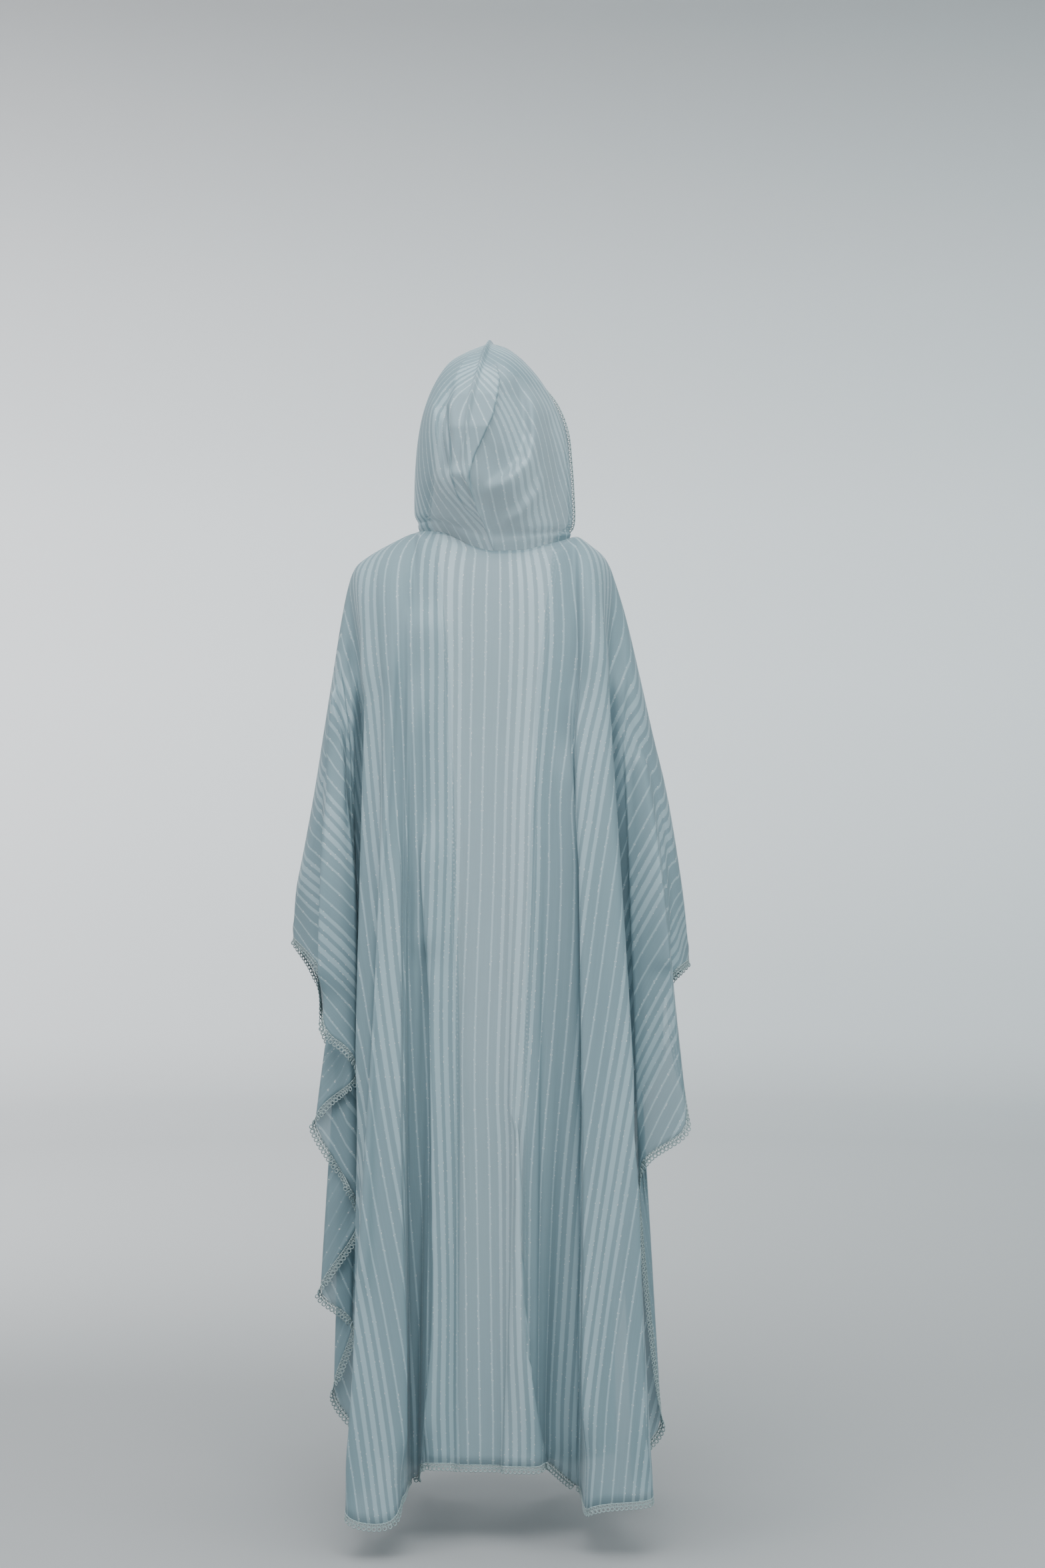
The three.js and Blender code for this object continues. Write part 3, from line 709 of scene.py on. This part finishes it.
def striped_cloth(name, sheer, shine):
    """Crepe ground with satin stripes along the cut's second axis.

    sheer is the share of light that goes straight through, shine how far the stripes show.
    """
    material, nodes, links = new_material(name)
    cut = nodes.new("ShaderNodeUVMap")
    cut.uv_map = "cut"
    split = nodes.new("ShaderNodeSeparateXYZ")
    links.new(cut.outputs[0], split.inputs[0])
    across = split.outputs[0]
    # the stripes' edges waver by a fraction of a millimetre
    waver = noise(nodes, links, cut.outputs[0], 90, 1)
    shift = math_node(nodes, links, "MULTIPLY_ADD", waver, WAVER * MM)
    shift.node.inputs[2].default_value = (STRIPE_START + STRIPE_LEAD - WAVER / 2) * MM
    place = math_node(nodes, links, "ADD", across, shift)
    turns = math_node(nodes, links, "FRACT", math_node(nodes, links, "DIVIDE", place, REPEAT * MM))
    ramp = nodes.new("ShaderNodeValToRGB")
    links.new(turns, ramp.inputs[0])
    stops = ramp.color_ramp.elements
    marks = []
    soft = STRIPE_EDGE / REPEAT
    for middle, width in STRIPES:
        low = (middle - width / 2 + STRIPE_LEAD) / REPEAT
        high = (middle + width / 2 + STRIPE_LEAD) / REPEAT
        marks += [(low - soft, 0), (low + soft, 1), (high - soft, 1), (high + soft, 0)]
    while len(stops) < len(marks):
        stops.new(0.5)
    for stop, (at, value) in zip(stops, marks):
        stop.position = at
        stop.color = (value, value, value, 1)
    satin = math_node(nodes, links, "MULTIPLY", ramp.outputs[0], shine)
    # fine crepe threads, finer across than along
    crepe = noise(nodes, links, cut.outputs[0], 1, 2, (2600, 900, 1))
    slub = noise(nodes, links, cut.outputs[0], 1, 2, (420, 9, 1))
    ground = mix_colour(nodes, links, slub, shade(GROUND, 0.93), shade(GROUND, 1.07))
    colour = mix_colour(nodes, links, satin, ground, SATIN)
    # broad, faint change of tone over the garment
    object_place = nodes.new("ShaderNodeTexCoord")
    tone = noise(nodes, links, object_place.outputs["Object"], 3.2, 2)
    colour = mix_colour(nodes, links, math_node(nodes, links, "MULTIPLY", tone, 0.22),
                        colour, (0.55, 0.58, 0.60, 1), "MULTIPLY")
    # painted glints: pale specks at the edges of the stripes, bright thread with the sparkle of light on it
    # painted into the colour
    edge = math_node(nodes, links, "MULTIPLY", satin, math_node(nodes, links, "SUBTRACT", 1, satin))
    speck = noise(nodes, links, cut.outputs[0], 260, 0)
    rare = math_node(nodes, links, "GREATER_THAN", speck, 0.70)
    painted_glint = math_node(nodes, links, "MULTIPLY", math_node(nodes, links, "MULTIPLY", edge, 4), rare)
    colour = mix_colour(nodes, links, painted_glint, colour, (0.86, 0.88, 0.87, 1))

    cloth = nodes.new("ShaderNodeBsdfPrincipled")
    links.new(colour, cloth.inputs["Base Color"])
    rough = math_node(nodes, links, "MULTIPLY_ADD", satin, -0.24)
    rough.node.inputs[2].default_value = 0.66
    links.new(rough, cloth.inputs["Roughness"])
    cloth.inputs["Specular IOR Level"].default_value = 0.45
    cloth.inputs["Sheen Weight"].default_value = 0.10
    cloth.inputs["Sheen Roughness"].default_value = 0.45
    raised = math_node(nodes, links, "MULTIPLY", satin, 0.6)
    height = math_node(nodes, links, "ADD", math_node(nodes, links, "MULTIPLY", crepe, 0.5), raised)
    bump = nodes.new("ShaderNodeBump")
    bump.inputs["Strength"].default_value = 0.25
    bump.inputs["Distance"].default_value = 0.0004
    links.new(height, bump.inputs["Height"])
    links.new(bump.outputs[0], cloth.inputs["Normal"])
    through_light = nodes.new("ShaderNodeBsdfTranslucent")
    links.new(colour, through_light.inputs["Color"])
    mixed = nodes.new("ShaderNodeMixShader")
    mixed.inputs[0].default_value = 0.25
    links.new(cloth.outputs[0], mixed.inputs[1])
    links.new(through_light.outputs[0], mixed.inputs[2])
    clear = nodes.new("ShaderNodeBsdfTransparent")
    weave = nodes.new("ShaderNodeMixShader")
    weave.inputs[0].default_value = sheer
    links.new(mixed.outputs[0], weave.inputs[1])
    links.new(clear.outputs[0], weave.inputs[2])
    out = nodes.new("ShaderNodeOutputMaterial")
    links.new(weave.outputs[0], out.inputs[0])
    return material


def crochet_yarn(name):
    material, nodes, links = new_material(name)
    place = nodes.new("ShaderNodeTexCoord")
    twist = noise(nodes, links, place.outputs["Object"], 900, 2)
    colour = mix_colour(nodes, links, twist, shade(YARN, 0.86), shade(YARN, 1.12))
    yarn = nodes.new("ShaderNodeBsdfPrincipled")
    links.new(colour, yarn.inputs["Base Color"])
    yarn.inputs["Roughness"].default_value = 0.7
    yarn.inputs["Sheen Weight"].default_value = 0.2
    bump = nodes.new("ShaderNodeBump")
    bump.inputs["Strength"].default_value = 0.4
    bump.inputs["Distance"].default_value = 0.0003
    links.new(twist, bump.inputs["Height"])
    links.new(bump.outputs[0], yarn.inputs["Normal"])
    out = nodes.new("ShaderNodeOutputMaterial")
    links.new(yarn.outputs[0], out.inputs[0])
    return material


SHEER = 0.33
cloth_finish = striped_cloth("striped satin crepe", SHEER, 1.0)
wrong_side = striped_cloth("wrong side of the crepe", SHEER, 0.22)
yarn_finish = crochet_yarn("crochet yarn")


# ---- crochet edging ----
PITCH = 0.0066  # metres from ring to ring
EDGE_STEPS = {"back": 3000, "front": 1800, "opening": 900, "hood": 500}  # points along each edge line
INSIDE = 0.99  # share of a drop at which the points just inside the hem stand


def edging_cell():
    """One ring with its two rails and the zigzag between them. x runs along the edge, y outwards."""
    bm = bmesh.new()
    made = bmesh.ops.create_circle(bm, segments=4, radius=0.00088)
    bmesh.ops.rotate(bm, verts=made["verts"], cent=(0, 0, 0), matrix=Matrix.Rotation(math.pi / 2, 3, "X"))
    bmesh.ops.translate(bm, verts=made["verts"], vec=(0.0027, 0, 0))
    bmesh.ops.spin(bm, geom=bm.verts[:] + bm.edges[:], cent=(0, 0, 0), axis=(0, 0, 1),
                   angle=2 * math.pi, steps=10, use_merge=True)
    bmesh.ops.translate(bm, verts=bm.verts[:], vec=(0, 0.0080, 0))
    bmesh.ops.recalc_face_normals(bm, faces=bm.faces[:])

    def bar(start, end, radius):
        start, end = Vector(start), Vector(end)
        made = bmesh.ops.create_cone(bm, cap_ends=True, segments=4, radius1=radius, radius2=radius,
                                     depth=(end - start).length)
        turn = (end - start).to_track_quat("Z", "Y").to_matrix()
        bmesh.ops.rotate(bm, verts=made["verts"], cent=(0, 0, 0), matrix=turn)
        bmesh.ops.translate(bm, verts=made["verts"], vec=(start + end) / 2)

    half = PITCH / 2 + 0.0002
    bar((-half, 0.0009, 0), (half, 0.0009, 0), 0.0010)
    bar((-half, 0.0049, 0), (half, 0.0049, 0), 0.0008)
    bar((-PITCH / 2, 0.0011, 0), (0, 0.0047, 0), 0.0007)
    bar((0, 0.0047, 0), (PITCH / 2, 0.0011, 0), 0.0007)
    mesh = bpy.data.meshes.new("edging cell")
    bm.to_mesh(mesh)
    bm.free()
    return mesh


cell = edging_cell()
cell_co = np.empty(len(cell.vertices) * 3)
cell.vertices.foreach_get("co", cell_co)
cell_co = cell_co.reshape(-1, 3)


def crochet_edge(name, edge, inner, flare=None):
    """Rows of rings along an edge line.

    inner holds points just inside the edge, flare the way in which the rings lean out.
    """
    steps = np.linalg.norm(np.diff(edge, axis=0), axis=1)
    places = np.concatenate([[0], np.cumsum(steps)]) * MM
    count = max(2, int(round(places[-1] / PITCH)))
    middles = (np.arange(count) + 0.5) * places[-1] / count

    def pick(values, at):
        return np.stack([np.interp(at, places, values[:, k]) for k in range(3)], 1)

    here = pick(edge, middles) * MM
    run = pick(edge, middles + PITCH * 0.45) - pick(edge, middles - PITCH * 0.45)
    run = unit(run)
    out = pick(edge - inner, middles)
    out = unit(out - run * (out * run).sum(1, keepdims=True))
    if flare is not None:
        out += pick(flare, middles)
        out = unit(out - run * (out * run).sum(1, keepdims=True))
    up = np.cross(run, out)
    bm = bmesh.new()
    for _ in range(count):
        bm.from_mesh(cell)
    mesh = bpy.data.meshes.new(name)
    bm.to_mesh(mesh)
    bm.free()
    turned = (
        here[:, None]
        + cell_co[None, :, 0:1] * run[:, None]
        + cell_co[None, :, 1:2] * out[:, None]
        + cell_co[None, :, 2:3] * up[:, None]
    )
    mesh.vertices.foreach_set("co", turned.ravel())
    mesh.polygons.foreach_set("use_smooth", [True] * len(mesh.polygons))
    mesh.update()
    obj = placed(name, mesh)
    obj.data.materials.append(yarn_finish)
    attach(obj, "root")
    return obj


def dress(obj, node, centre=(0.0, -0.02)):
    turn_outwards(obj, centre)
    thin_wall(obj)
    obj.data.materials.append(cloth_finish)
    obj.data.materials.append(wrong_side)
    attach(obj, "root")
    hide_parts(node)


# ---- panels of the robe ----
NECK_SINK, NECK_REACH = 8.0, 9.0  # how far the back's neck edge sinks in, and how far down that fades
NECK_ENDS = 30  # length at each end of the neck seam over which it stops sinking
SEAM_HOLD = 0.05  # share of each drop over which the finer folds grow out of the seam
FOLD_MARGIN = 16  # how softly a fold ends along the seam line


def draped(cut, us, vs, side, arm=arm_left, folds=FOLDS_BACK):
    """A panel with its finer folds. arm is the place of its left or only neck point."""
    grid = cut["drape"](us, vs)
    belongs = np.repeat((cut["at"](0, us) - arm)[None], len(vs), 0)
    if side < 0:  # the neck edge sinks in under the hood's foot
        drop = along(cut["line"], cut["at"](0, us))[None, :, 2] - grid[..., 2]
        sunk = NECK_SINK * np.exp(-((drop / NECK_REACH) ** 2))
        grid[..., 1] += sunk * eased(belongs / NECK_ENDS) * eased((neck_length - belongs) / NECK_ENDS)
    folded = fold_cloth(grid, folds, belongs, np.array([0.0, float(side), 0.0]), FOLD_MARGIN)
    return grid + (folded - grid) * eased(np.asarray(vs) / SEAM_HOLD)[:, None, None]


def spaced_columns(cut, count, side):
    """Grid columns, closer together where the back's folds turn sharply."""
    us = np.linspace(0, cut["end"], 4000)
    if side < 0:
        here = cut["at"](0, us) - arm_left
        near = [np.exp(-(((here - place) / FINE_REACH) ** 2)) for place in FINE_PLACES]
        weight = 1 + sum(FINE_SHARE * part for part in near)
        total = np.cumsum(weight)
        total = (total - total[0]) / (total[-1] - total[0])
        return np.interp(np.linspace(0, 1, count + 1), total, us)
    return np.linspace(0, cut["end"], count + 1)


def hang_panel(name, cut, size, neck, node, side, folds):
    """One panel of the robe and its flat pattern. neck is where its neck edge starts and ends."""
    us = spaced_columns(cut, COLUMNS[size], side)
    vs = spaced_drops(DROPS[size])
    grid = draped(cut, us, vs, side, neck[0], folds)
    flat = laid_flat(grid, panel_angle(cut, us, vs, neck))
    # the cut's zero is moved so that the stripes keep their places by the middle of the back
    key = np.unravel_index(np.hypot(grid[..., 0], grid[..., 2] + KEY_DROP).argmin(), grid.shape[:2])
    flat -= flat[key] - np.array([grid[key][0], KEY_DROP])
    obj = grid_mesh(name, grid, flat)
    dress(obj, node)
    return obj, flat


back_neck = (arm_left, arm_left + neck_length)
back, back_flat = hang_panel("cloth_back", back_cut, "back", back_neck, "back_panel", -1, FOLDS_BACK)
fine = np.linspace(0, back_cut["end"], EDGE_STEPS["back"])
hem = draped(back_cut, fine, np.array([INSIDE, 1.0]), -1)
back_lace = crochet_edge("lace_back", hem[1], hem[0])
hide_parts("edging_back")

# ---- fronts ----
for word, arm in (("left", arm_left), ("right", arm_right)):
    cut, folds = front_cuts[word], FOLDS_FRONT[word]
    whole = cut["line"][1][-1]
    obj, flat = hang_panel("cloth_front_" + word, cut, "front", (arm, whole + 1), "front_" + word, 1, folds)
    fine = np.linspace(0, cut["end"], EDGE_STEPS["front"])
    hem = draped(cut, fine, np.array([INSIDE, 1.0]), 1, arm, folds)
    lace = crochet_edge("lace_front_" + word, hem[1], hem[0])
    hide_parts("edging_front_" + word)
    vs = np.linspace(0, 1, EDGE_STEPS["opening"])
    side = draped(cut, np.array([cut["end"] * 0.995, cut["end"]]), vs, 1, arm, folds)
    opening = crochet_edge("lace_opening_" + word, side[:, 1], side[:, 0])
    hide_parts("edging_opening_" + word)

# ---- hood ----
HOOD_COLUMNS, HOOD_DROPS = 120, 160
SEAM_DEPTH, SEAM_REACH = 4.6, 3.2  # how the two halves roll in at the middle seam
BULGE, BULGE_LEVEL, BULGE_REACH = 6, 0.42, 0.3  # how the hood swells just over its foot
FACE_FLARE = {"left": 0.4, "right": 3.0}  # how far the edging leans out at the face edge
LIP_OUT, LIP_DOWN, LIP_REACH = 9.0, 5.5, 0.35  # how the foot stands over the neck seam


def hood_outward(word, us, vs):
    shape = hood_shapes[word]
    h = 1e-3
    near, far = np.maximum(0, us - h), np.minimum(3, us + h)
    under, over = np.maximum(0, vs - h), np.minimum(len(HOOD_SEAM) - 1, vs + h)
    sign = 1 if word == "left" else -1
    return unit(np.cross(shape(far, vs) - shape(near, vs), shape(us, over) - shape(us, under))) * sign


def with_flap(grid):
    """Brings the cloth on both sides of the middle seam forward to a flat flap with sharp edges."""
    x, z = grid[..., 0], grid[..., 2]
    past_left, share = from_line(FLAP_LEFT, x, z)
    past_right = from_line(FLAP_RIGHT, x, z)[0]
    inside = eased(past_left / FLAP_EDGE + 0.5) * (1 - eased(past_right / FLAP_EDGE + 0.5))
    inside *= eased(share / 0.08) * eased((1 - share) / 0.15)
    seam = np.array(HOOD_SEAM[1:7], float)
    level = np.interp(z, seam[:, 2], seam[:, 1]) - FLAP_OUT
    moved_grid = grid.copy()
    moved_grid[..., 1] -= inside * np.maximum(0, grid[..., 1] - level) * (grid[..., 1] < 0)
    overhang = np.exp(-((past_right / FLAP_REACH) ** 2)) - np.exp(-((past_left / FLAP_REACH) ** 2))
    moved_grid[..., 0] += inside * FLAP_LEAN * overhang
    return moved_grid


def folded_hood(word, us, vs):
    """Half of the hood with its folds, its seam rolled in and its foot bulging over the neck."""
    grid = hood_shapes[word](us, vs)
    zero = np.zeros(1)
    seam_out = unit(hood_outward("left", zero, vs) + hood_outward("right", zero, vs))
    own = eased(us / 0.5)[None, :, None]
    outward = unit(hood_outward(word, us, vs) * own + seam_out * (1 - own))
    belongs = np.repeat(us[None], len(vs), 0)
    grid = fold_cloth(with_flap(grid), FOLDS_HOOD, belongs, np.array([0.0, -1.0, 0.0]), 0.3, 0.22)
    bulge = BULGE * np.exp(-(((vs - BULGE_LEVEL) / BULGE_REACH) ** 2)) * eased(vs / 0.1)
    grid += bulge[:, None, None] * outward
    from_seam = np.linalg.norm(grid - grid[:, :1], axis=2)
    rolled = SEAM_DEPTH * np.exp(-((from_seam / SEAM_REACH) ** 2)) * eased(vs / 0.3)[:, None]
    grid -= rolled[..., None] * outward
    # the foot laps over the neck edge of the panels
    lip = (1 - eased(vs / LIP_REACH))[:, None, None]
    away = unit(outward * np.array([1.0, 1.0, 0.0]))
    return grid + lip * (LIP_OUT * away - np.array([0.0, 0.0, LIP_DOWN]))


for word in ("left", "right"):
    us = 3 * np.linspace(0, 1, HOOD_COLUMNS + 1) ** 1.2
    vs = np.linspace(0, len(HOOD_SEAM) - 1, HOOD_DROPS + 1)
    grid = folded_hood(word, us, vs)
    table = bent(np.arange(len(HOOD_LEAN[word])), HOOD_LEAN[word], vs)
    lean = np.array([np.interp(us, LEAN_STATIONS, row) for row in table])
    flat = laid_flat(grid, math.pi / 2 + np.radians(lean))
    # the best fit of so round a form comes out small: it gets the area that the hung cloth has
    flat *= math.sqrt(cell_area(grid) / cell_area(flat))
    obj = grid_mesh("cloth_hood_" + word, grid, flat)
    dress(obj, "hood_" + word, (0.0, 0.0))
    fine = np.linspace(0, len(HOOD_SEAM) - 1, EDGE_STEPS["hood"])
    side = folded_hood(word, np.array([2.985, 3.0]), fine)
    flare = hood_outward(word, np.array([3.0]), fine)[:, 0] * FACE_FLARE[word]
    lace = crochet_edge("lace_hood_" + word, side[:, 1], side[:, 0], flare)
    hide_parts("edging_hood_" + word)

# ---- studio ----
# metres out from the robe's foot along the floor and up the wall, and how bright the paint is there:
# painted light and shade, darker on the floor near the robe's foot and high on the wall, brightest where
# the floor curves up into the wall, for the fall of the studio light
WALL_REACH = 14.0
PAINTED_WALL_LIGHT = [
    (0.3, 0.315), (0.6, 0.34), (1.1, 0.36), (1.8, 0.375), (3.2, 0.41), (4.6, 0.455), (5.6, 0.55),
    (6.6, 0.70),
    (8.5, 0.81), (9.6, 0.855), (10.6, 0.83), (11.7, 0.67), (13.0, 0.39)]
WALL_TINT = (0.985, 1.0, 1.01)
BOWL_FLAT, BOWL_TURN, BOWL_TOP = 5.5, 3.0, 9.0  # metres: flat floor, radius of the curve, top of the wall
BOWL_BELOW = 0.012  # metres between the floor that the robe hangs over and the bowl


def bowl_paint_and_shade():
    """Paint of the floor and wall, with painted light and shade: the listed levels outwards from the robe's
    foot, and painted cooler towards +x for the cooler light on that side.
    """
    material, nodes, links = new_material("floor and wall with painted shade")
    place = nodes.new("ShaderNodeTexCoord")
    split = nodes.new("ShaderNodeSeparateXYZ")
    links.new(place.outputs["Object"], split.inputs[0])
    flat_place = nodes.new("ShaderNodeCombineXYZ")
    links.new(split.outputs[0], flat_place.inputs[0])
    links.new(split.outputs[1], flat_place.inputs[1])
    away = nodes.new("ShaderNodeVectorMath")
    away.operation = "LENGTH"
    links.new(flat_place.outputs[0], away.inputs[0])
    reach = math_node(nodes, links, "ADD", away.outputs["Value"], split.outputs[2])
    height = nodes.new("ShaderNodeMapRange")
    height.inputs["From Min"].default_value = FLOOR_Z
    height.inputs["From Max"].default_value = FLOOR_Z + WALL_REACH
    links.new(reach, height.inputs["Value"])
    # painted light and shade: the paint's brightness follows the listed levels by reach
    painted_shades = nodes.new("ShaderNodeValToRGB")
    links.new(height.outputs[0], painted_shades.inputs[0])
    stops = painted_shades.color_ramp.elements
    while len(stops) < len(PAINTED_WALL_LIGHT):
        stops.new(0.5)
    for stop, (at, light_level) in zip(stops, PAINTED_WALL_LIGHT):
        stop.position = at / WALL_REACH
        stop.color = tuple(light_level * tint for tint in WALL_TINT) + (1,)
    paint = nodes.new("ShaderNodeBsdfPrincipled")
    # painted shade: the paint turns cooler towards +x, for the cooler light on that side
    painted_cool_cast = nodes.new("ShaderNodeMapRange")
    painted_cool_cast.inputs["From Min"].default_value = -2.5
    painted_cool_cast.inputs["From Max"].default_value = 3.0
    links.new(split.outputs[0], painted_cool_cast.inputs["Value"])
    colour = mix_colour(nodes, links, painted_cool_cast.outputs[0], painted_shades.outputs[0],
                        (0.90, 0.985, 1.0, 1), "MULTIPLY")
    links.new(colour, paint.inputs["Base Color"])
    paint.inputs["Roughness"].default_value = 0.9
    paint.inputs["Specular IOR Level"].default_value = 0.1
    out = nodes.new("ShaderNodeOutputMaterial")
    links.new(paint.outputs[0], out.inputs[0])
    return material


def studio_bowl():
    """Pale floor that curves up into a round wall far behind every camera."""
    bm = bmesh.new()
    profile = [(0.0, 0.0), (3.0, 0.0), (BOWL_FLAT, 0.0)]
    for k in range(1, 13):
        a = k / 12 * math.pi / 2
        profile.append((BOWL_FLAT + BOWL_TURN * math.sin(a), BOWL_TURN * (1 - math.cos(a))))
    profile.append((BOWL_FLAT + BOWL_TURN, BOWL_TOP))
    verts = [bm.verts.new((r, 0, z)) for r, z in profile]
    edges = [bm.edges.new(pair) for pair in zip(verts[:-1], verts[1:])]
    bmesh.ops.spin(bm, geom=verts + edges, cent=(0, 0, 0), axis=(0, 0, 1), angle=2 * math.pi,
                   steps=96, use_merge=True)
    bmesh.ops.remove_doubles(bm, verts=bm.verts[:], dist=1e-5)
    bmesh.ops.recalc_face_normals(bm, faces=bm.faces[:])
    bmesh.ops.translate(bm, verts=bm.verts[:], vec=(0, 0, FLOOR_Z - BOWL_BELOW))
    mesh = bpy.data.meshes.new("studio_floor")
    bm.to_mesh(mesh)
    bm.free()
    mesh.polygons.foreach_set("use_smooth", [True] * len(mesh.polygons))
    obj = placed("studio_floor", mesh)
    obj.data.materials.append(bowl_paint_and_shade())


def soft_light(name, place, target, size, power, colour=(1, 1, 1)):
    data = bpy.data.lights.new(name, "AREA")
    data.shape = "RECTANGLE"
    data.size, data.size_y = size
    data.energy = power
    data.color = colour
    obj = placed(name, data)
    obj.location = place
    obj.rotation_mode = "QUATERNION"
    obj.rotation_quaternion = (Vector(target) - Vector(place)).to_track_quat("-Z", "Y")


studio_bowl()
soft_light("window light", (-3.3, -3.4, 2.4), (0, 0, 0.15), (2.6, 2.6), 96, (1.0, 0.98, 1.0))
soft_light("front light", (0.1, -3.3, 3.0), (0, 0, 0.4), (3.2, 2.0), 184, (1.0, 0.99, 1.0))
soft_light("fill light", (3.6, -3.2, 1.6), (0, 0, 0.0), (3.0, 3.0), 82, (0.90, 0.99, 1.0))
soft_light("ceiling light", (-0.4, -0.5, 3.4), (0, 0, -1), (4.0, 4.0), 150, (1.0, 1.0, 1.0))
soft_light("far light", (0.6, 4.6, 2.6), (0, 0, -0.3), (3.0, 3.0), 60, (1.0, 1.0, 1.0))
soft_light("wall light", (-3.2, 1.5, 2.0), (-3.6, 8.5, 0.5), (4.0, 4.0), 430, (1.0, 0.99, 1.0))
world = bpy.data.worlds.new("studio air")
world.use_nodes = True
world.node_tree.nodes["Background"].inputs["Color"].default_value = (0.86, 0.91, 0.95, 1)
world.node_tree.nodes["Background"].inputs["Strength"].default_value = 0.74
bpy.context.scene.world = world

camera_data = bpy.data.cameras.new("camera")
camera_data.lens = 65.6
camera_data.sensor_width = 36
camera = placed("camera", camera_data)
camera.location = (0.051, -4.2, -0.364)
camera.rotation_euler = (math.pi / 2, 0, 0)
bpy.context.scene.camera = camera

bpy.context.view_layer.update()
